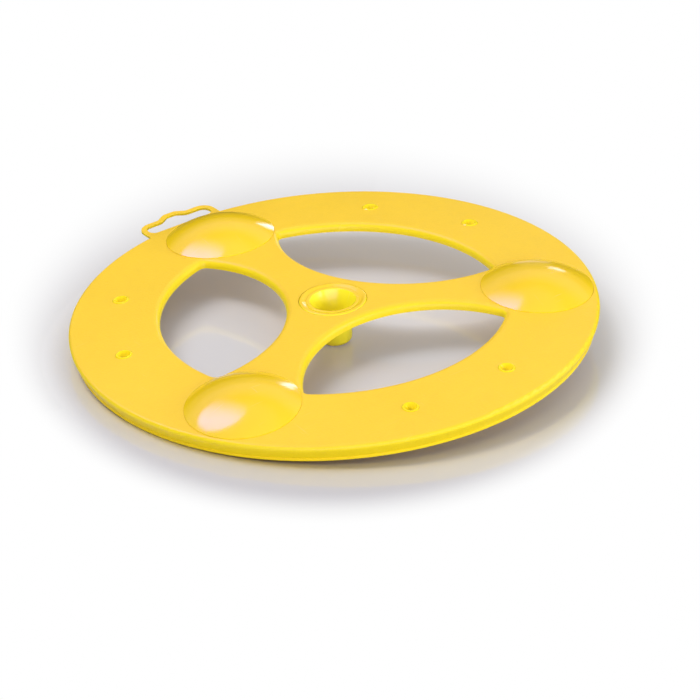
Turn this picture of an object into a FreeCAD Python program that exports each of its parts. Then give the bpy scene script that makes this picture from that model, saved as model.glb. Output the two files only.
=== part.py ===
# A hand-size toy merry-go-round: a crowned plastic wheel with three lens-shaped windows,
# carried on a hollow pivot cup whose closed foot stands on the table.
# Millimetres, +Z up.  The origin is the centre of the foot's flat face, and +Z is the axis that
# the wheel turns on.  The hanging loop points along +Y.
import FreeCAD, Part
import math
import os

from FreeCAD import Placement, Rotation, Vector

# ---------------------------------------------------------------- driving dimensions (mm, degrees)
FOLD = 3                     # windows, spokes, domes and stud pairs round the wheel
DOME_AZIMUTH = 90.0          # the first dome, on the hanging loop's line

# wheel plate
RIM_R = 112.5                # the plate's widest radius, at the top of the skirt
PLATE_EDGE_Z = 14.3          # height of the plate's top surface where it would meet RIM_R
CROWN_RISE = 5.5             # how much higher the plate is at the hub than at PLATE_EDGE_Z
PLATE_T = 2.2
RIM_ROUND = 1.5              # round between the plate's top and the skirt
SKIRT_H = 7.5                # PLATE_EDGE_Z down to the skirt's foot
SKIRT_TUCK = 1.9             # the skirt's foot is this much narrower than RIM_R
SKIRT_T = 1.8
BEAD_PROUD = 0.35            # the bead stands this far out of the skirt
BEAD_H = 1.3

# windows: each is the overlap of a circle about the wheel's axis and one about its own centre
RIM_BAND = 38.8              # plate left between the windows and the rim
HUB_BAND = 5.35              # plate left between the windows and the pivot cup's seat
DOME_BAND = 1.7              # plate left between the windows and the dome caps
WINDOW_CORNER_R = 3.0
LIP_T = 1.6                  # downturned wall round each window
LIP_H = 1.6                  # below the plate's underside
EDGE_ROUND = 2.4             # round on the windows' upper edge

# hub of the wheel
BOSS_WALL = 3.4              # round the bore
BOSS_H = 2.2                 # below the plate's underside
HUB_SEAT_DEPTH = 1.6         # recess that takes the pivot cup's flange
HUB_SEAT_CLEAR = 0.2         # radial, round the flange

# hanging loop, with a display-hook slot
HANGER_DROP = 3.4            # PLATE_EDGE_Z down to the loop's top
HANGER_T = 1.3
HANGER_HALF_W = 18.9
HANGER_LENGTH = 15.2         # from the rim to the loop's shoulders
HANGER_CORNER_R = 6.0
HANGER_EDGE_ROUND = 0.35
STRIP_W = 2.7                # width of the loop's strip
SLOT_W = 7.1                 # from the strip back to the slot's straight edge
SLOT_CORNER_R = 3.0
HUMP_RISE = 3.0              # above the shoulders
HUMP_FOOT_HALF_W = 7.4
HUMP_TOP_HALF_W = 3.0
HUMP_FOOT_ROUND = 1.6
HUMP_TOP_ROUND = 3.6

# dome caps
CAP_R = 24.0
CAP_RIM_BAND = 1.5           # from the cap's edge to the rim
CAP_RISE = 7.2               # above the plate's surface
CAP_T = 1.6
CAP_SEAT_DEPTH = 0.5         # recess in the plate that takes the cap's foot
CAP_SEAT_CLEAR = 0.1
CAP_PEGS = 3
CAP_PEG_R = 1.5
CAP_PEG_INSET = 7.6          # from the cap's edge to a peg's centre
CAP_PEG_WALL = 1.1           # of the boss inside the dome that each peg grows from
CAP_PEG_CLEAR = 0.05
STAKE_PROUD = 1.0            # the peg's flattened end is this much wider than the peg
STAKE_H = 0.8
STAKE_CHAMFER = 0.75
STAKE_CLEAR = 0.1

# rim studs: hollow push-in sockets, a pair over each window
STUD_INSET = 19.8            # from the rim to a stud's centre
STUD_HALF_ANGLE = 15.1       # either side of the window's centre line
STUD_PATTERN_TURN = -0.5     # the six studs against the windows
STUD_SHANK_R = 2.5
STUD_HEAD_OVERHANG = 1.1
STUD_HEAD_PROUD = 0.35
STUD_HEAD_SUNK = 0.6
STUD_CLEAR = 0.05
STUD_TAIL = 0.9              # below the plate's underside
STUD_SNAP = 0.25             # the snap ridge is this much wider than the shank
STUD_MOUTH_WALL = 0.8        # of the head, round the conical mouth
STUD_CONE_END_R = 0.7
STUD_CONE_DEPTH = 2.4

# pivot cup
BARREL_R = 11.4
BORE_CLEAR = 0.1             # radial, barrel in the wheel's bore
BARREL_END = 0.8             # barrel left under the retaining ring
FLANGE_OVERHANG = 3.0        # the flange's edge, outside the barrel
FLANGE_PROUD = 0.3           # above the hub's top
FLANGE_GAP = 0.15            # running gap between the flange and the wheel's seat
FLANGE_ROUND = 0.8
FLANGE_RIDGE_W = 1.3         # level ridge round the flange, outside its shallow dish
DISH_DEPTH = 0.75            # from the ridge down to the foot of the mouth's lip
LIP_RIDGE_W = 1.5            # level ridge round the cup's mouth
LIP_RIDGE_RISE = 0.4         # above the dish
DISH_EDGE_ROUND = 0.35       # round on the ridges' edges towards the dish
PEG_TOP_R = 7.6
PEG_BOTTOM_R = 7.2
PEG_SHOULDER_H = 3.0         # cone between the barrel and the peg
FOOT_ROUND = 2.7             # round between the peg and its flat foot
CUP_MOUTH_WALL = 1.5         # less than the barrel at the mouth
CUP_WALL = 1.7               # of the peg
CUP_THROAT_DROP = 0.6        # below the peg's top
CUP_FLOOR_T = 1.8
CUP_FLOOR_ROUND = 2.7
CUP_LIP_ROUND = 0.6

# retaining ring, sprung into a groove under the wheel's hub
RING_T = 1.4
RING_GAP = 0.2               # running gap between the ring and the hub boss
RING_OVERHANG = 2.2          # the ring's edge, outside the barrel
RING_SPLIT = 3.0
GROOVE_DEPTH = 0.8
GROOVE_CLEAR = 0.05

# ---------------------------------------------------------------- values that follow from them
SKIRT_BOTTOM_Z = PLATE_EDGE_Z - SKIRT_H
SKIRT_FOOT_R = RIM_R - SKIRT_TUCK
CROWN_R = (RIM_R ** 2 + CROWN_RISE ** 2) / (2 * CROWN_RISE)
HUB_TOP_Z = PLATE_EDGE_Z + CROWN_RISE
CROWN_CENTRE_Z = HUB_TOP_Z - CROWN_R

BORE_R = BARREL_R + BORE_CLEAR
BOSS_R = BORE_R + BOSS_WALL
BOSS_BOTTOM_Z = HUB_TOP_Z - PLATE_T - BOSS_H
HUB_SEAT_Z = HUB_TOP_Z - HUB_SEAT_DEPTH
FLANGE_R = BARREL_R + FLANGE_OVERHANG
FLANGE_TOP_Z = HUB_TOP_Z + FLANGE_PROUD
FLANGE_BOTTOM_Z = HUB_SEAT_Z + FLANGE_GAP
DISH_LOW_Z = FLANGE_TOP_Z - DISH_DEPTH
CUP_MOUTH_Z = DISH_LOW_Z + LIP_RIDGE_RISE
HUB_SEAT_R = FLANGE_R + HUB_SEAT_CLEAR

RING_R = BARREL_R + RING_OVERHANG
RING_TOP_Z = BOSS_BOTTOM_Z - RING_GAP
RING_BOTTOM_Z = RING_TOP_Z - RING_T
GROOVE_R = BARREL_R - GROOVE_DEPTH
BARREL_BOTTOM_Z = RING_BOTTOM_Z - BARREL_END
PEG_TOP_Z = BARREL_BOTTOM_Z - PEG_SHOULDER_H
CUP_MOUTH_R = BARREL_R - CUP_MOUTH_WALL
CUP_THROAT_R = PEG_TOP_R - CUP_WALL
CUP_THROAT_Z = PEG_TOP_Z - CUP_THROAT_DROP
CUP_END_R = PEG_BOTTOM_R - CUP_WALL

CAP_AT = RIM_R - CAP_RIM_BAND - CAP_R
CAP_PEG_AT = CAP_R - CAP_PEG_INSET
STUD_AT = RIM_R - STUD_INSET
STUD_HEAD_R = STUD_SHANK_R + STUD_HEAD_OVERHANG

# The windows' second circle stays HUB_BAND clear of the hub's seat and DOME_BAND clear of the
# domes on both sides, which settles its centre and its radius.
WINDOW_AZIMUTH = DOME_AZIMUTH - 180.0 / FOLD
WINDOW_OUTER_R = RIM_R - RIM_BAND
WINDOW_REACH = HUB_SEAT_R + HUB_BAND
DOME_PAST_REACH = CAP_R + DOME_BAND - WINDOW_REACH
CAP_BESIDE = CAP_AT * math.cos(math.pi / FOLD)
WINDOW_INNER_AT = (CAP_AT ** 2 - DOME_PAST_REACH ** 2) / (2 * (CAP_BESIDE + DOME_PAST_REACH))
WINDOW_INNER_R = WINDOW_INNER_AT - WINDOW_REACH

HANGER_REACH = RIM_R + HANGER_LENGTH
HANGER_TOP_Z = PLATE_EDGE_Z - HANGER_DROP
HANGER_BOTTOM_Z = HANGER_TOP_Z - HANGER_T

OVER = 1.0                   # cutters start this far outside what they cut
NEAR = 1e-3                  # two values closer than this are the same
TALL = 2 * HUB_TOP_Z         # cutters from z = 0 up to here run right through the wheel
AXIS = Vector(0, 0, 1)


# ---------------------------------------------------------------- helpers
def crown_z(radius, drop=0.0):
    """Height of the plate's spherical top surface, or of one that lies DROP under it."""
    return CROWN_CENTRE_Z + math.sqrt((CROWN_R - drop) ** 2 - radius ** 2)


def section_point(radius, z):
    return Vector(radius, 0, z)


def section_line(start, end):
    return Part.LineSegment(section_point(*start), section_point(*end)).toShape()


def section_arc(start, centre, end):
    """The shorter arc about CENTRE from START to END, all as (radius, z)."""
    r0 = math.hypot(start[0] - centre[0], start[1] - centre[1])
    bisector = (start[0] + end[0] - 2 * centre[0], start[1] + end[1] - 2 * centre[1])
    length = math.hypot(*bisector)
    middle = (centre[0] + bisector[0] * r0 / length, centre[1] + bisector[1] * r0 / length)
    return Part.Arc(section_point(*start), section_point(*middle), section_point(*end)).toShape()


def turned(edges):
    """The solid made by turning a closed section about the Z axis."""
    face = Part.Face(Part.Wire(edges))
    return face.revolve(Vector(0, 0, 0), AXIS, 360)


def turned_polygon(points):
    edges = [section_line(a, b) for a, b in zip(points, points[1:] + points[:1])]
    return turned(edges)


def skirt_radius(z):
    """Outer radius of the sloping skirt at a height."""
    low_z, high_z = SKIRT_BOTTOM_Z + BEAD_H, PLATE_EDGE_Z - RIM_ROUND
    low_r = SKIRT_FOOT_R - BEAD_PROUD
    return low_r + (RIM_R - low_r) * (z - low_z) / (high_z - low_z)


def touching_point(centre, radius, point):
    """Where a line from POINT, below, touches the outer side of a circle in the section."""
    across, up = point[0] - centre[0], point[1] - centre[1]
    angle = math.atan2(up, across) + math.acos(radius / math.hypot(across, up))
    return centre[0] + radius * math.cos(angle), centre[1] + radius * math.sin(angle)


def crown_slab(depth, radius):
    """What lies between the crown and a surface DEPTH under it, out to RADIUS."""
    top, bottom = (0, crown_z(0)), (0, crown_z(0, depth))
    top_end = (radius, crown_z(radius))
    bottom_end = (radius, crown_z(radius, depth))
    centre = (0, CROWN_CENTRE_Z)
    return turned([
        section_arc(top, centre, top_end),
        section_line(top_end, bottom_end),
        section_arc(bottom_end, centre, bottom),
        section_line(bottom, top),
    ])


def on_crown(shape, radius, azimuth):
    """Move a shape made at the origin on to the crown: its +Z along the normal, its +X outwards."""
    lean = math.degrees(math.asin(radius / CROWN_R))
    stand = Placement(Vector(radius, 0, crown_z(radius)), Rotation(Vector(0, 1, 0), lean))
    turn = Placement(Vector(0, 0, 0), Rotation(AXIS, azimuth))
    moved = shape.copy()
    moved.Placement = turn.multiply(stand).multiply(shape.Placement)
    return moved


def rounded_wire(corners, z):
    """A closed wire through (x, y, round) corners, each rounded by a tangent arc."""
    count = len(corners)
    runs = []
    for i in range(count):
        corner = Vector(corners[i][0], corners[i][1], z)
        before = Vector(*corners[i - 1][:2], z)
        after = Vector(*corners[(i + 1) % count][:2], z)
        radius = corners[i][2]
        if radius == 0:
            runs.append((corner, None, corner))
            continue
        back = (before - corner).normalize()
        ahead = (after - corner).normalize()
        half = back.getAngle(ahead) / 2
        start = corner + back * (radius / math.tan(half))
        end = corner + ahead * (radius / math.tan(half))
        inward = (back + ahead).normalize()
        middle = corner + inward * (radius / math.sin(half) - radius)
        runs.append((start, middle, end))
    edges = []
    for i in range(count):
        start, middle, end = runs[i]
        if middle is not None:
            edges.append(Part.Arc(start, middle, end).toShape())
        edges.append(Part.LineSegment(end, runs[(i + 1) % count][0]).toShape())
    return Part.Wire(edges)


def window_prism(grow, azimuth):
    """A window's outline, grown by GROW all round, as a tall prism."""
    outer, inner, corner = WINDOW_OUTER_R + grow, WINDOW_INNER_R + grow, WINDOW_CORNER_R + grow
    # the corner arc's centre lies (outer - corner) from the axis and (inner - corner) from the
    # second circle's centre
    a, b, d = outer - corner, inner - corner, WINDOW_INNER_AT
    x = (a * a - b * b + d * d) / (2 * d)
    y = math.sqrt(a * a - x * x)
    second = Vector(d, 0, 0)

    def corner_points(side):
        centre = Vector(x, side * y, 0)
        on_outer = centre * (outer / a)
        on_inner = second + (centre - second) * (inner / b)
        out = (centre * (1 / a) + (centre - second) * (1 / b)).normalize()
        return on_outer, centre + out * corner, on_inner

    low_outer, low_tip, low_inner = corner_points(-1)
    high_outer, high_tip, high_inner = corner_points(1)
    wire = Part.Wire([
        Part.Arc(low_outer, Vector(outer, 0, 0), high_outer).toShape(),
        Part.Arc(high_outer, high_tip, high_inner).toShape(),
        Part.Arc(high_inner, Vector(d - inner, 0, 0), low_inner).toShape(),
        Part.Arc(low_inner, low_tip, low_outer).toShape(),
    ])
    prism = Part.Face(wire).extrude(AXIS * TALL)
    prism.rotate(Vector(0, 0, 0), AXIS, azimuth)
    return prism


def azimuths(first):
    return [first + 360.0 / FOLD * i for i in range(FOLD)]


def stud_azimuths():
    places = []
    for middle in azimuths(WINDOW_AZIMUTH):
        for side in (1, -1):
            places.append(middle + side * STUD_HALF_ANGLE + STUD_PATTERN_TURN)
    return places


def cap_peg_points():
    """The pegs of one cap, in the cap's own plane; one peg points at the hub."""
    angles = [math.pi + 2 * math.pi / CAP_PEGS * i for i in range(CAP_PEGS)]
    return [Vector(CAP_PEG_AT * math.cos(a), CAP_PEG_AT * math.sin(a), 0) for a in angles]


def peg_sag():
    """How far the plate has fallen away from the cap's plane at the pegs."""
    return CAP_PEG_AT ** 2 / (2 * CROWN_R)


def cylinder(radius, low, high, at=Vector(0, 0, 0)):
    return Part.makeCylinder(radius, high - low, at + Vector(0, 0, low))


# ---------------------------------------------------------------- the pieces
def loop_outline(inset, foot_edge, foot_corner_r):
    """The loop's outline, or with an INSET the slot's, which leaves a strip of even width."""
    half = HANGER_HALF_W - inset
    shoulder = HANGER_REACH - inset
    slope = math.atan2(HUMP_RISE, HUMP_FOOT_HALF_W - HUMP_TOP_HALF_W)
    shift = inset * math.tan(slope / 2)
    right = [
        (half, foot_edge, foot_corner_r),
        (half, shoulder, HANGER_CORNER_R - inset),
        (HUMP_FOOT_HALF_W - shift, shoulder, HUMP_FOOT_ROUND + inset),
        (HUMP_TOP_HALF_W - shift, shoulder + HUMP_RISE, HUMP_TOP_ROUND - inset),
    ]
    left = [(-x, y, radius) for x, y, radius in reversed(right)]
    return right + left


def hanger_loop():
    """A thin loop with a display-hook slot: a long slot with a hump in the middle."""
    inside_wall = skirt_radius((HANGER_TOP_Z + HANGER_BOTTOM_Z) / 2) - SKIRT_T / 2
    root = math.sqrt(inside_wall ** 2 - HANGER_HALF_W ** 2) - STRIP_W
    slot_edge = HANGER_REACH - STRIP_W - SLOT_W
    outline = rounded_wire(loop_outline(0, root, 0), HANGER_BOTTOM_Z)
    slot = rounded_wire(loop_outline(STRIP_W, slot_edge, SLOT_CORNER_R), HANGER_BOTTOM_Z)
    body = Part.Face(outline).extrude(AXIS * HANGER_T)
    body = body.cut(Part.Face(slot).extrude(AXIS * HANGER_T))
    level = [e for e in body.Edges if e.BoundBox.ZLength < NEAR and e.BoundBox.YMin > root + NEAR]
    body = body.makeFillet(HANGER_EDGE_ROUND, level)
    return body.cut(cylinder(inside_wall, 0, TALL))


def plate_blank():
    """Plate, rounded rim, skirt with its bead, and hub boss, turned in one piece."""
    centre = (0, CROWN_CENTRE_Z)
    round_r = RIM_R - RIM_ROUND
    round_z = CROWN_CENTRE_Z + math.sqrt((CROWN_R - RIM_ROUND) ** 2 - round_r ** 2)
    scale = CROWN_R / (CROWN_R - RIM_ROUND)
    crown_end = (round_r * scale, CROWN_CENTRE_Z + (round_z - CROWN_CENTRE_Z) * scale)
    hub_top = (0, HUB_TOP_Z)
    skirt_low = SKIRT_FOOT_R - BEAD_PROUD
    bead_top = (skirt_low, SKIRT_BOTTOM_Z + BEAD_H)
    bead_out = (SKIRT_FOOT_R, SKIRT_BOTTOM_Z + BEAD_H - BEAD_PROUD)
    bead_low = (SKIRT_FOOT_R, SKIRT_BOTTOM_Z + BEAD_PROUD)
    foot_out = (skirt_low, SKIRT_BOTTOM_Z)
    foot_in = (skirt_low - SKIRT_T, SKIRT_BOTTOM_Z)
    under_out = (RIM_R - SKIRT_T, crown_z(RIM_R - SKIRT_T, PLATE_T))
    skirt_top = touching_point((round_r, round_z), RIM_ROUND, bead_top)
    under_hub = (BOSS_R, crown_z(BOSS_R, PLATE_T))
    boss_out = (BOSS_R, BOSS_BOTTOM_Z)
    boss_axis = (0, BOSS_BOTTOM_Z)
    return turned([
        section_arc(hub_top, centre, crown_end),
        section_arc(crown_end, (round_r, round_z), skirt_top),
        section_line(skirt_top, bead_top),
        section_line(bead_top, bead_out),
        section_line(bead_out, bead_low),
        section_line(bead_low, foot_out),
        section_line(foot_out, foot_in),
        section_line(foot_in, under_out),
        section_arc(under_out, centre, under_hub),
        section_line(under_hub, boss_out),
        section_line(boss_out, boss_axis),
        section_line(boss_axis, hub_top),
    ])


def round_window_edges(plate):
    """Round the upper edge of every window."""
    edges = []
    for edge in plate.Edges:
        if edge.Degenerated:
            continue
        points = edge.discretize(5)
        radii = [math.hypot(p.x, p.y) for p in points]
        on_top = all(abs(p.z - crown_z(r)) < NEAR for p, r in zip(points, radii))
        inside = HUB_SEAT_R < min(radii) and max(radii) < WINDOW_OUTER_R + NEAR
        if on_top and inside:
            edges.append(edge)
    return plate.makeFillet(EDGE_ROUND, edges)


def wheel_disc():
    plate = plate_blank()
    slab = crown_slab(PLATE_T + LIP_H, WINDOW_OUTER_R + LIP_T + OVER)
    for azimuth in azimuths(WINDOW_AZIMUTH):
        plate = plate.fuse(slab.common(window_prism(LIP_T, azimuth)))
    for azimuth in azimuths(WINDOW_AZIMUTH):
        plate = plate.cut(window_prism(0, azimuth))
    plate = round_window_edges(plate)

    plate = plate.fuse(hanger_loop())
    plate = plate.cut(cylinder(BORE_R, 0, TALL))
    plate = plate.cut(cylinder(HUB_SEAT_R, HUB_SEAT_Z, TALL))

    cap_cut = cylinder(CAP_R + CAP_SEAT_CLEAR, -CAP_SEAT_DEPTH, CAP_RISE)
    for point in cap_peg_points():
        cap_cut = cap_cut.fuse(cylinder(CAP_PEG_R + CAP_PEG_CLEAR, -2 * PLATE_T, 0, point))
    for azimuth in azimuths(DOME_AZIMUTH):
        plate = plate.cut(on_crown(cap_cut, CAP_AT, azimuth))

    stud_cut = cylinder(STUD_SHANK_R + STUD_CLEAR, -2 * PLATE_T, OVER)
    stud_cut = stud_cut.fuse(cylinder(STUD_HEAD_R + STUD_CLEAR, -STUD_HEAD_SUNK, OVER))
    for azimuth in stud_azimuths():
        plate = plate.cut(on_crown(stud_cut, STUD_AT, azimuth))
    return plate.removeSplitter()


def dome_cap():
    """A hollow shallow dome with three staked pegs; z = 0 is the plate's surface at its centre."""
    ball_r = (CAP_R ** 2 + CAP_RISE ** 2) / (2 * CAP_RISE)
    centre = (0, CAP_RISE - ball_r)
    foot_z = -CAP_SEAT_DEPTH
    inner_foot_r = math.sqrt((ball_r - CAP_T) ** 2 - (foot_z - centre[1]) ** 2)
    shell = turned([
        section_line((inner_foot_r, foot_z), (CAP_R, foot_z)),
        section_line((CAP_R, foot_z), (CAP_R, 0)),
        section_arc((CAP_R, 0), centre, (0, CAP_RISE)),
        section_line((0, CAP_RISE), (0, CAP_RISE - CAP_T)),
        section_arc((0, CAP_RISE - CAP_T), centre, (inner_foot_r, foot_z)),
    ])
    middle_of_wall = Part.makeSphere(ball_r - CAP_T / 2, Vector(0, 0, centre[1]))
    stake_r = CAP_PEG_R + STAKE_PROUD
    stake_top = -PLATE_T - peg_sag() - STAKE_CLEAR
    stake_low = stake_top - STAKE_H
    cap = shell
    for point in cap_peg_points():
        boss = cylinder(CAP_PEG_R + CAP_PEG_WALL, foot_z, CAP_RISE, point).common(middle_of_wall)
        peg = cylinder(CAP_PEG_R, stake_low, 0, point)
        stake = Part.makeCone(stake_r - STAKE_CHAMFER, stake_r, STAKE_H, point + AXIS * stake_low)
        cap = cap.fuse([boss, peg, stake])
    return cap.removeSplitter()


def rim_stud():
    """A hollow push-in socket with a conical mouth; z = 0 is the plate's surface."""
    tail = -PLATE_T - STUD_TAIL
    ridge = STUD_SHANK_R + STUD_SNAP
    ridge_top = -PLATE_T - STUD_CLEAR
    rim = STUD_HEAD_PROUD
    return turned_polygon([
        (0, rim - STUD_CONE_DEPTH),
        (STUD_CONE_END_R, rim - STUD_CONE_DEPTH),
        (STUD_HEAD_R - STUD_MOUTH_WALL, rim),
        (STUD_HEAD_R - rim, rim),
        (STUD_HEAD_R, 0),
        (STUD_HEAD_R, -STUD_HEAD_SUNK),
        (STUD_SHANK_R, -STUD_HEAD_SUNK),
        (STUD_SHANK_R, ridge_top),
        (ridge, ridge_top - STUD_SNAP),
        (STUD_SHANK_R - STUD_SNAP, tail),
        (0, tail),
    ])


def pivot_cup():
    """Flanged barrel and closed tapered foot; the wheel turns on the barrel."""
    groove_low = RING_BOTTOM_Z - GROOVE_CLEAR
    groove_high = RING_TOP_Z + GROOVE_CLEAR
    dish_r = FLANGE_R - FLANGE_RIDGE_W
    lip_r = CUP_MOUTH_R + LIP_RIDGE_W
    cup = turned_polygon([
        (0, 0),
        (PEG_BOTTOM_R, 0),
        (PEG_TOP_R, PEG_TOP_Z),
        (BARREL_R, BARREL_BOTTOM_Z),
        (BARREL_R, groove_low),
        (GROOVE_R, groove_low),
        (GROOVE_R, groove_high),
        (BARREL_R, groove_high),
        (BARREL_R, FLANGE_BOTTOM_Z),
        (FLANGE_R, FLANGE_BOTTOM_Z),
        (FLANGE_R, FLANGE_TOP_Z),
        (dish_r, FLANGE_TOP_Z),
        (lip_r, DISH_LOW_Z),
        (lip_r, CUP_MOUTH_Z),
        (CUP_MOUTH_R, CUP_MOUTH_Z),
        (CUP_THROAT_R, CUP_THROAT_Z),
        (CUP_END_R, CUP_FLOOR_T),
        (0, CUP_FLOOR_T),
    ])

    def edge_at(radius, z):
        for edge in cup.Edges:
            box = edge.BoundBox
            if box.ZLength < NEAR and abs(box.ZMin - z) < NEAR and abs(box.XMax - radius) < NEAR:
                return edge
        raise ValueError("no edge at radius %s, height %s" % (radius, z))

    cup = cup.makeFillet(FOOT_ROUND, [edge_at(PEG_BOTTOM_R, 0)])
    cup = cup.makeFillet(CUP_FLOOR_ROUND, [edge_at(CUP_END_R, CUP_FLOOR_T)])
    cup = cup.makeFillet(FLANGE_ROUND, [edge_at(FLANGE_R, FLANGE_TOP_Z)])
    dish_edges = [edge_at(dish_r, FLANGE_TOP_Z), edge_at(lip_r, CUP_MOUTH_Z)]
    cup = cup.makeFillet(DISH_EDGE_ROUND, dish_edges)
    return cup.makeFillet(CUP_LIP_ROUND, [edge_at(CUP_MOUTH_R, CUP_MOUTH_Z)])


def retaining_ring():
    """A split ring that springs into the barrel's groove and carries the wheel's hub."""
    ring = cylinder(RING_R, RING_BOTTOM_Z, RING_TOP_Z)
    ring = ring.cut(cylinder(GROOVE_R + GROOVE_CLEAR, 0, TALL))
    return ring.cut(Part.makeBox(RING_R + OVER, RING_SPLIT, TALL, Vector(0, -RING_SPLIT / 2, 0)))


# ---------------------------------------------------------------- the assembly
pieces = {
    "wheel_disc": wheel_disc(),
    "pivot_cup": pivot_cup(),
    "retaining_ring": retaining_ring(),
}
for number, azimuth in enumerate(azimuths(DOME_AZIMUTH), 1):
    pieces["dome_cap_%d" % number] = on_crown(dome_cap(), CAP_AT, azimuth)
for number, azimuth in enumerate(stud_azimuths(), 1):
    pieces["rim_stud_%d" % number] = on_crown(rim_stud(), STUD_AT, azimuth)

os.makedirs("parts", exist_ok=True)
for name, shape in pieces.items():
    solids = shape.Solids
    if len(solids) != 1 or not shape.isValid():
        raise ValueError("%s: %d solids, valid %s" % (name, len(solids), shape.isValid()))
    solids[0].exportStep("parts/%s.step" % name)
    box = solids[0].BoundBox
    print("%-16s %9.1f mm3  x %.1f..%.1f  y %.1f..%.1f  z %.2f..%.2f" % (
        name, solids[0].Volume, box.XMin, box.XMax, box.YMin, box.YMax, box.ZMin, box.ZMax))
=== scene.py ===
import math

import bpy
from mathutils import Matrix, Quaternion, Vector


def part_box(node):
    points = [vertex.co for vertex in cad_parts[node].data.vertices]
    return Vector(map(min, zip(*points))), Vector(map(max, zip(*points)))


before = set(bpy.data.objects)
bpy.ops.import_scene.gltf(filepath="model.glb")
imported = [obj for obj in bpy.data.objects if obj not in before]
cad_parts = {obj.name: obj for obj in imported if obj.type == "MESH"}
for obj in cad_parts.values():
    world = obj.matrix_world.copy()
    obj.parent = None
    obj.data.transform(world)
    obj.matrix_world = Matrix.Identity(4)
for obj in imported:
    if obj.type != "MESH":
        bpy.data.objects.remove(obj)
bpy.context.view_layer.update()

# ---------------------------------------------------------------- sizes, in metres
wheel_low, wheel_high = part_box("wheel_disc")
cup_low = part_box("pivot_cup")[0]
RIM_R = (wheel_high.x - wheel_low.x) / 2
SKIRT_FOOT_Z = wheel_low.z
SKIRT_H = 0.0075
SKIRT_TUCK = 0.0019                   # the skirt's foot is this much narrower than the rim
PLATE_EDGE_Z = SKIRT_FOOT_Z + SKIRT_H
FOOT_FACE_R = 0.0046                  # flat end of the cup, which stands on the floor

# ---------------------------------------------------------------- camera
AIM = Vector((-0.01454, -0.03248, PLATE_EDGE_Z))
VIEW_AZIMUTH = math.radians(-123.42)
VIEW_ELEVATION = math.radians(29.25)
VIEW_ROLL = math.radians(-4.01)
VIEW_DISTANCE = 1.40622
LENS_MM = 174.57
SENSOR_MM = 36
AWAY = VIEW_AZIMUTH + math.pi         # level direction straight back from the camera


def direction(azimuth, elevation):
    """Unit vector at an azimuth and elevation, in radians."""
    level = math.cos(elevation)
    return Vector((level * math.cos(azimuth), level * math.sin(azimuth), math.sin(elevation)))


camera_data = bpy.data.cameras.new("camera")
camera_data.sensor_width = SENSOR_MM
camera_data.lens = LENS_MM
camera_data.clip_start = 0.05
camera_data.clip_end = 50
camera = bpy.data.objects.new("camera", camera_data)
bpy.context.scene.collection.objects.link(camera)
toward_camera = direction(VIEW_AZIMUTH, VIEW_ELEVATION)
camera.location = AIM + toward_camera * VIEW_DISTANCE
camera.rotation_mode = "QUATERNION"
camera.rotation_quaternion = toward_camera.to_track_quat("Z", "Y") @ Quaternion((0, 0, 1), VIEW_ROLL)
bpy.context.scene.camera = camera
bpy.context.scene.view_settings.view_transform = "Standard"

# ---------------------------------------------------------------- node helpers


class Graph:
    """A node tree that is filled by short calls. Values may be sockets or plain numbers."""

    def __init__(self, tree):
        self.tree = tree
        tree.nodes.clear()

    def feed(self, socket, value):
        if isinstance(value, bpy.types.NodeSocket):
            self.tree.links.new(value, socket)
        else:
            socket.default_value = value

    def add(self, kind, sockets=None, **settings):
        made = self.tree.nodes.new(kind)
        for key, value in settings.items():
            setattr(made, key, value)
        for key, value in (sockets or {}).items():
            self.feed(made.inputs[key], value)
        return made

    def coordinates(self):
        return self.add("ShaderNodeTexCoord").outputs["Object"]

    def mapped(self, vector, **change):
        """VECTOR scaled, then rotated, then moved by Scale, Rotation and Location."""
        return self.add("ShaderNodeMapping", {"Vector": vector, **change}).outputs[0]

    def noise(self, vector, scale, detail=2.0, roughness=0.5):
        sockets = {"Vector": vector, "Scale": scale, "Detail": detail, "Roughness": roughness}
        return self.add("ShaderNodeTexNoise", sockets).outputs["Fac"]

    def uneven(self, vector, scale, detail=2.0, roughness=0.5, reach=0.2):
        """Noise from -0.5 to 0.5, which it has REACH either side of its middle."""
        return self.spread(self.noise(vector, scale, detail, roughness), 0.5 - reach, 0.5 + reach, -0.5, 0.5)

    def spread(self, value, low, high, to_low=0.0, to_high=1.0, smooth=False):
        sockets = {"Value": value, "From Min": low, "From Max": high, "To Min": to_low, "To Max": to_high}
        kind = "SMOOTHSTEP" if smooth else "LINEAR"
        return self.add("ShaderNodeMapRange", sockets, interpolation_type=kind).outputs["Result"]

    def math(self, operation, first, second=0.0):
        return self.add("ShaderNodeMath", {0: first, 1: second}, operation=operation).outputs[0]

    def plus(self, first, second, share):
        """FIRST and SHARE of SECOND."""
        return self.math("ADD", first, self.math("MULTIPLY", second, share))

    def mix(self, factor, first, second, blend="MIX"):
        made = self.add("ShaderNodeMix", data_type="RGBA", blend_type=blend)
        for index, value in ((0, factor), (6, first), (7, second)):
            self.feed(made.inputs[index], value)
        return made.outputs[2]

    def mix_shader(self, factor, first, second):
        return self.add("ShaderNodeMixShader", {0: factor, 1: first, 2: second}).outputs[0]

    def split(self, vector):
        return self.add("ShaderNodeSeparateXYZ", {0: vector}).outputs

    def geometry(self, output):
        return self.add("ShaderNodeNewGeometry").outputs[output]

    def bump(self, height, distance, over=None):
        """A normal with relief, on top of the normal OVER where that is given."""
        sockets = {"Height": height, "Distance": distance, "Strength": 1.0}
        if over is not None:
            sockets["Normal"] = over
        return self.add("ShaderNodeBump", sockets).outputs["Normal"]


def linear(red, green, blue):
    """An sRGB colour out of 255, as a shader colour."""
    def one(value):
        value /= 255
        return value / 12.92 if value <= 0.04045 else ((value + 0.055) / 1.055) ** 2.4
    return (one(red), one(green), one(blue), 1.0)


def new_material(name):
    made = bpy.data.materials.new(name)
    made.use_nodes = True
    return made, Graph(made.node_tree)


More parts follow.
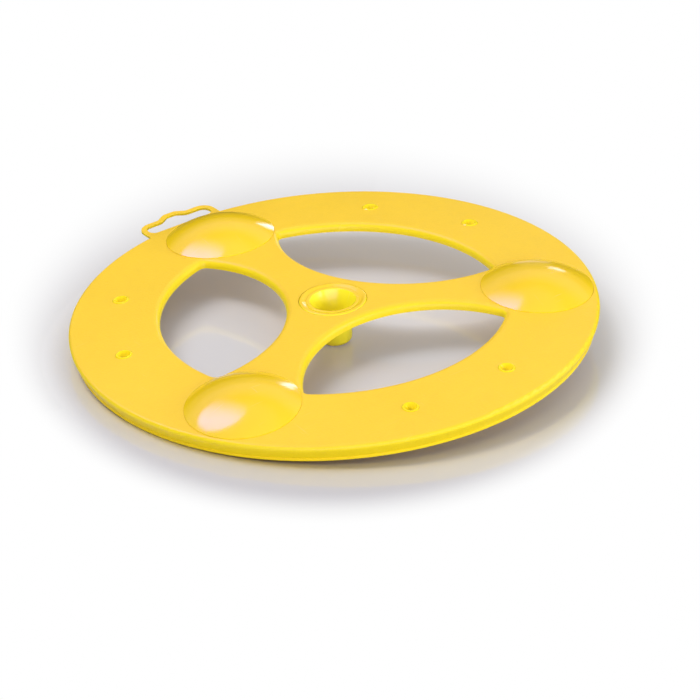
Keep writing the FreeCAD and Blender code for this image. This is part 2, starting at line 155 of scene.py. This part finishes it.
# ---------------------------------------------------------------- plastics
SATIN = linear(253, 210, 40)
GLOSS = linear(253, 212, 24)
# LEMON is the studs' own colour, and on the steep faces of the other parts a painted glow
LEMON = linear(255, 228, 20)
# painted glow on the cup's steep faces and inner walls, lighter than its face colour
CUP_PAINTED_GLOW = linear(255, 243, 50)
RUBBED = (1.0, 0.92, 0.55, 1.0)
GLINT = (0.75, 0.12, 1.0, 1.0)        # tint of the gloss, which turns highlights pink

# where the painted glow on steep faces begins and where it is full
LEVEL_FROM = 0.93                     # upright part of the normal of a face that counts as level
STEEP_FROM = 0.55                     # and of one that counts as steep

# how often each kind of unevenness repeats in a metre
FLOW_PER_M = 26.0
CLOUD_PER_M = 190.0
RIPPLE_PER_M = 38.0
RUB_PATCH_PER_M = 60.0

# and how much it shows
FLOW_TONE = 0.035
CLOUD_TONE = 0.02
GRAIN_TONE = 0.05
FLOW_DULL = 0.05
RUB_DULL = 0.12
RUB_PALE = 0.10


def streaks(g, place, turn, scale, least):
    """Thin straight streaks, TURN radians round, where the noise along them passes LEAST."""
    drawn_out = g.mapped(place, Rotation=(0, 0, turn), Scale=scale)
    return g.spread(g.noise(drawn_out, 1.0, 1.0), least, least + 0.06)


def rub_marks(g, place):
    """Fine marks from handling: two directions of streaks, in patches."""
    streak = g.math("MAXIMUM", streaks(g, place, turn=0.6, scale=(60, 1500, 60), least=0.70),
                    streaks(g, place, turn=-0.9, scale=(1300, 70, 70), least=0.71))
    patch = g.spread(g.noise(place, RUB_PATCH_PER_M), 0.5, 0.62)
    return g.math("MULTIPLY", streak, patch)


def moulded_plastic(name, face, edge, roughness, gloss_ior, ripple, grain=0.0, grain_depth=0.0):
    """Injection-moulded plastic.

    FACE is the colour of level faces. EDGE is a lighter, more lemon colour painted on thin walls and
    steep faces as a painted glow of light soaking through the plastic. RIPPLE is the depth of the
    face's slow waviness. A satin face has a spark texture from the mould as well: GRAIN is its size
    and GRAIN_DEPTH its depth, in metres.
    """
    made, g = new_material(name)
    place = g.coordinates()
    flow = g.uneven(place, FLOW_PER_M, 3.0, 0.55)
    cloud = g.uneven(place, CLOUD_PER_M)
    tone = g.plus(g.math("MULTIPLY", flow, FLOW_TONE), cloud, CLOUD_TONE)
    relief = g.bump(g.noise(place, RIPPLE_PER_M, 1.0), ripple)
    if grain_depth > 0:
        speck = g.uneven(place, 1.0 / grain, 2.0, 0.65, reach=0.25)
        tone = g.plus(tone, speck, GRAIN_TONE)
        relief = g.bump(speck, grain_depth, over=relief)
    tone = g.math("ADD", tone, 1.0)
    grey = g.add("ShaderNodeCombineXYZ", {0: tone, 1: tone, 2: tone}).outputs[0]
    # painted glow: steep faces take the lighter EDGE colour, as if light soaked through them
    level = g.math("ABSOLUTE", g.split(g.geometry("Normal"))[2])
    steep = g.spread(level, LEVEL_FROM, STEEP_FROM, smooth=True)
    body = g.mix(1.0, g.mix(steep, face, edge), grey, "MULTIPLY")
    rub = rub_marks(g, place)
    body = g.mix(g.math("MULTIPLY", rub, RUB_PALE), body, RUBBED)
    rough = g.plus(g.plus(roughness, rub, RUB_DULL), flow, FLOW_DULL)
    shader = g.add("ShaderNodeBsdfPrincipled", {
        "Base Color": body, "Roughness": rough, "IOR": gloss_ior, "Normal": relief, "Specular Tint": GLINT})
    g.add("ShaderNodeOutputMaterial", {"Surface": shader.outputs[0]})
    return made


# by the start of the node names that have each finish
FINISHES = {
    "wheel_disc": moulded_plastic("wheel_plastic", SATIN, LEMON, roughness=0.40, gloss_ior=1.5,
                                  ripple=0.00004, grain=0.0009, grain_depth=0.00006),
    "dome_cap": moulded_plastic("dome_plastic", GLOSS, LEMON, roughness=0.15, gloss_ior=1.8,
                                ripple=0.0003),
    "rim_stud": moulded_plastic("stud_plastic", LEMON, LEMON, roughness=0.14, gloss_ior=1.6,
                                ripple=0.0001),
    "pivot_cup": moulded_plastic("cup_plastic", SATIN, CUP_PAINTED_GLOW, roughness=0.22, gloss_ior=1.5,
                                 ripple=0.0001),
    "retaining_ring": moulded_plastic("ring_plastic", SATIN, LEMON, roughness=0.35, gloss_ior=1.5,
                                      ripple=0.00002, grain=0.0007, grain_depth=0.00003),
}
for node_name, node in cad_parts.items():
    for start, finish in FINISHES.items():
        if node_name.startswith(start):
            node.data.materials.clear()
            node.data.materials.append(finish)

# ---------------------------------------------------------------- floor
# The pivot's foot stands on the floor and the rim leans down to it on one side.
LEAN_AZIMUTH = math.radians(-166.2)
FLOOR_CLEAR = 0.00002                 # gap under the foot, so that no two faces lie in one plane
FLOOR_R = 4.0
FLOOR_SIDES = 96
FLOOR_WHITE = linear(226, 223, 228)
FLOOR_ROUGHNESS = 0.09
FLOOR_IOR = 1.8

PAINTED_LIFT_SLANT = 0.8                      # how much a step to the right counts, against one straight back
PAINTED_LIFT_NONE_AT = -0.13               # no painted lift here, so the floor's shade is darkest at the front left; painted lift full from here, towards the back right, where painted light adds this share of white over the shade
PAINTED_LIFT_FULL_AT = 0.10                # and palest there,
PAINTED_LIFT_MOST = 0.28                    # by this share of white

lean = math.atan2(SKIRT_FOOT_Z - cup_low.z, RIM_R - SKIRT_TUCK - FOOT_FACE_R)
floor_normal = direction(LEAN_AZIMUTH + math.pi, math.pi / 2 - lean)
foot_edge = direction(LEAN_AZIMUTH, 0) * FOOT_FACE_R
floor_offset = floor_normal.dot(foot_edge) - FLOOR_CLEAR


def floor_point(turn, reach, rise=0.0):
    """A point RISE over the floor and REACH from the wheel's axis.

    TURN is in radians from straight behind the wheel, positive to the right as the camera sees it.
    """
    level = direction(AWAY - turn, 0) * reach
    level.z = (floor_offset - level.dot(floor_normal)) / floor_normal.z + rise
    return tuple(level)


def stage_mesh(name, points, faces, finish):
    mesh = bpy.data.meshes.new(name)
    mesh.from_pydata(points, [], faces)
    mesh.materials.append(finish)
    made = bpy.data.objects.new(name, mesh)
    bpy.context.scene.collection.objects.link(made)
    return made


def ellipse(g, turned_place, moved_back, back, sideways):
    """Distance from an ellipse's centre, 1 on its edge.

    It is moved back by MOVED_BACK, away from the camera, and reaches BACK and SIDEWAYS from there.
    """
    flat = g.mapped(turned_place, Location=(-moved_back / back, 0, 0), Scale=(1 / back, 1 / sideways, 0))
    return g.add("ShaderNodeVectorMath", {0: flat}, operation="LENGTH").outputs["Value"]


def white_and_painted_lift(g, turned_place):
    """How white the floor looks, from the lit floor round the wheel out to pure white.

    The lit floor runs out to white between two ellipses. A share of white is also painted over the
    floor as painted light that lifts its shade, under the wheel too: none at the front left, where
    the shade stays darkest, and most towards the back right.
    """
    inner = ellipse(g, turned_place, moved_back=-0.001, back=0.131, sideways=0.112)
    outer = ellipse(g, turned_place, moved_back=0.032, back=0.192, sideways=0.143)
    past_inner = g.math("MAXIMUM", g.math("SUBTRACT", inner, 1.0), 0.0)
    way_out = g.math("DIVIDE", past_inner, g.math("SUBTRACT", inner, outer))
    run_out = g.spread(way_out, 0.0, 1.0, smooth=True)
    # painted light: the share of white that lifts the floor's shade grows from the front left to the back
    # right
    turned = g.split(turned_place)
    from_front_left = g.math("SUBTRACT", turned[0], g.math("MULTIPLY", turned[1], PAINTED_LIFT_SLANT))
    least = g.spread(from_front_left, PAINTED_LIFT_NONE_AT, PAINTED_LIFT_FULL_AT, 0.0, PAINTED_LIFT_MOST)
    return g.plus(least, run_out, g.math("SUBTRACT", 1.0, least))


def gloss_white_floor():
    """Pale glossy floor. Its white is only for the camera and for mirror images, and lights nothing;
    near the wheel part of it is painted light over the floor's shade.
    """
    made, g = new_material("floor_gloss_white")
    turned_place = g.mapped(g.coordinates(), Rotation=(0, 0, -AWAY))
    paper = g.add("ShaderNodeBsdfPrincipled", {
        "Base Color": FLOOR_WHITE, "Roughness": FLOOR_ROUGHNESS, "IOR": FLOOR_IOR}).outputs[0]
    white = g.add("ShaderNodeEmission", {"Color": (1, 1, 1, 1), "Strength": 1.0}).outputs[0]
    ray = g.add("ShaderNodeLightPath").outputs
    seen = g.math("MAXIMUM", ray["Is Camera Ray"],
                  g.math("MAXIMUM", ray["Is Glossy Ray"], ray["Is Transmission Ray"]))
    top_side = g.mix_shader(g.math("MULTIPLY", seen, white_and_painted_lift(g, turned_place)), paper, white)
    # seen from below the floor is clear, so that the underside of the wheel can be looked at
    under_side = g.add("ShaderNodeBsdfTransparent").outputs[0]
    surface = g.mix_shader(g.geometry("Backfacing"), top_side, under_side)
    g.add("ShaderNodeOutputMaterial", {"Surface": surface})
    return made


stage_mesh("floor", [floor_point(2 * math.pi * i / FLOOR_SIDES, FLOOR_R) for i in range(FLOOR_SIDES)],
           [list(range(FLOOR_SIDES - 1, -1, -1))], gloss_white_floor())

# ---------------------------------------------------------------- light
ROOM_GREY = (0.20, 0.20, 0.20, 1)
ROOM_PALE = (0.52, 0.52, 0.54, 1)

# Edges of the room's pale parts: where each begins and where it is full, as the part of a direction
# that points up or straight back.
CEILING_UP = (0.80, 0.95)
BACKDROP_FOOT_UP = (0.34, 0.46)
BACKDROP_TOP_UP = (0.80, 0.60)
BACKDROP_SIDE_BACK = (0.2, 0.6)


def studio_room():
    """A grey room with a pale ceiling, and a pale backdrop behind the wheel, above the dark cards."""
    world = bpy.data.worlds.new("studio")
    bpy.context.scene.world = world
    world.use_nodes = True
    g = Graph(world.node_tree)
    sky = g.add("ShaderNodeTexCoord").outputs["Generated"]
    up = g.split(sky)[2]
    facing = {0: sky, 1: tuple(direction(AWAY, 0))}
    behind = g.add("ShaderNodeVectorMath", facing, operation="DOT_PRODUCT").outputs["Value"]
    over_cards = g.spread(up, *BACKDROP_FOOT_UP, smooth=True)
    height = g.math("MULTIPLY", over_cards, g.spread(up, *BACKDROP_TOP_UP, smooth=True))
    backdrop = g.math("MULTIPLY", g.spread(behind, *BACKDROP_SIDE_BACK, smooth=True), height)
    ceiling = g.spread(up, *CEILING_UP, smooth=True)
    tone = g.mix(g.math("MAXIMUM", backdrop, ceiling), ROOM_GREY, ROOM_PALE)
    room = g.add("ShaderNodeBackground", {"Color": tone, "Strength": 1.0}).outputs[0]
    g.add("ShaderNodeOutputWorld", {"Surface": room})


def softbox(name, turn, elevation, distance, width, height, radiance, shape="RECTANGLE", full_from=None):
    """A lamp aimed at the wheel.

    TURN is in degrees from straight behind the wheel, positive to the right as the camera sees it.
    With FULL_FROM the lamp grows from nothing at its right end to full at that part of its width.
    """
    data = bpy.data.lights.new(name, "AREA")
    data.shape = shape
    data.size = width
    data.size_y = height
    data.energy = 4 * width * height * radiance   # the power of a rectangle of this radiance
    made = bpy.data.objects.new(name, data)
    bpy.context.scene.collection.objects.link(made)
    outward = direction(AWAY - math.radians(turn), math.radians(elevation))
    made.location = outward * distance
    made.rotation_mode = "QUATERNION"
    made.rotation_quaternion = outward.to_track_quat("Z", "Y")
    made.visible_camera = False
    if full_from is not None:
        data.use_nodes = True
        g = Graph(data.node_tree)
        across = g.split(g.geometry("Parametric"))[0]
        strength = g.spread(across, 0.05, full_from, smooth=True)
        lamp = g.add("ShaderNodeEmission", {"Color": (1, 1, 1, 1), "Strength": strength})
        g.add("ShaderNodeOutputLight", {"Surface": lamp.outputs[0]})
    return made


studio_room()
softbox("key", turn=-50, elevation=60, distance=1.2, width=0.92, height=0.92, radiance=3.9,
        shape="ELLIPSE", full_from=0.75)
softbox("strip", turn=17, elevation=9, distance=3.4, width=0.40, height=0.84, radiance=3.4)
fill = softbox("fill", turn=40, elevation=45, distance=1.5, width=1.80, height=1.30, radiance=0.50)
fill.visible_glossy = False           # it would be a hard-edged patch on the domes

# two lamps from the camera's side light the wheel only, so that the floor in front keeps its shade
wheel_only = bpy.data.collections.new("wheel_only")
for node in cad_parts.values():
    wheel_only.objects.link(node)
front = softbox("front", turn=174, elevation=17, distance=1.9, width=2.40, height=0.80, radiance=3.1)
side = softbox("side", turn=104, elevation=14, distance=1.9, width=1.50, height=0.60, radiance=4.6)
for lamp in (front, side):
    lamp.light_linking.receiver_collection = wheel_only

# ---------------------------------------------------------------- dark cards for the domes to mirror
CARD_DARK = (0.06, 0.06, 0.06, 1)
# from the wheel outwards: distance from its axis, and height over the floor
CARD_SECTION = ((0.125, 0.001), (0.55, 0.001), (0.56, 0.02), (0.57, 0.16))


def dark_card(name, turn_from, turn_to, steps, finish):
    """A card that lies on the floor behind the wheel and turns up, seen in mirror images only.

    TURN_FROM and TURN_TO are in degrees, as a lamp's turn is.
    """
    turns = [math.radians(turn_from + (turn_to - turn_from) * i / steps) for i in range(steps + 1)]
    points = [floor_point(turn, reach, rise) for turn in turns for reach, rise in CARD_SECTION]
    rows = len(CARD_SECTION)
    faces = [(i * rows + j, i * rows + j + 1, (i + 1) * rows + j + 1, (i + 1) * rows + j)
             for i in range(steps) for j in range(rows - 1)]
    made = stage_mesh(name, points, faces, finish)
    made.visible_camera = False
    made.visible_diffuse = False
    made.visible_shadow = False


card_finish, card_graph = new_material("flag_dark")
card_diffuse = card_graph.add("ShaderNodeBsdfDiffuse", {"Color": CARD_DARK}).outputs[0]
card_graph.add("ShaderNodeOutputMaterial", {"Surface": card_diffuse})
dark_card("flag_left", -115, 8, 30, card_finish)
dark_card("flag_right", 18, 105, 20, card_finish)
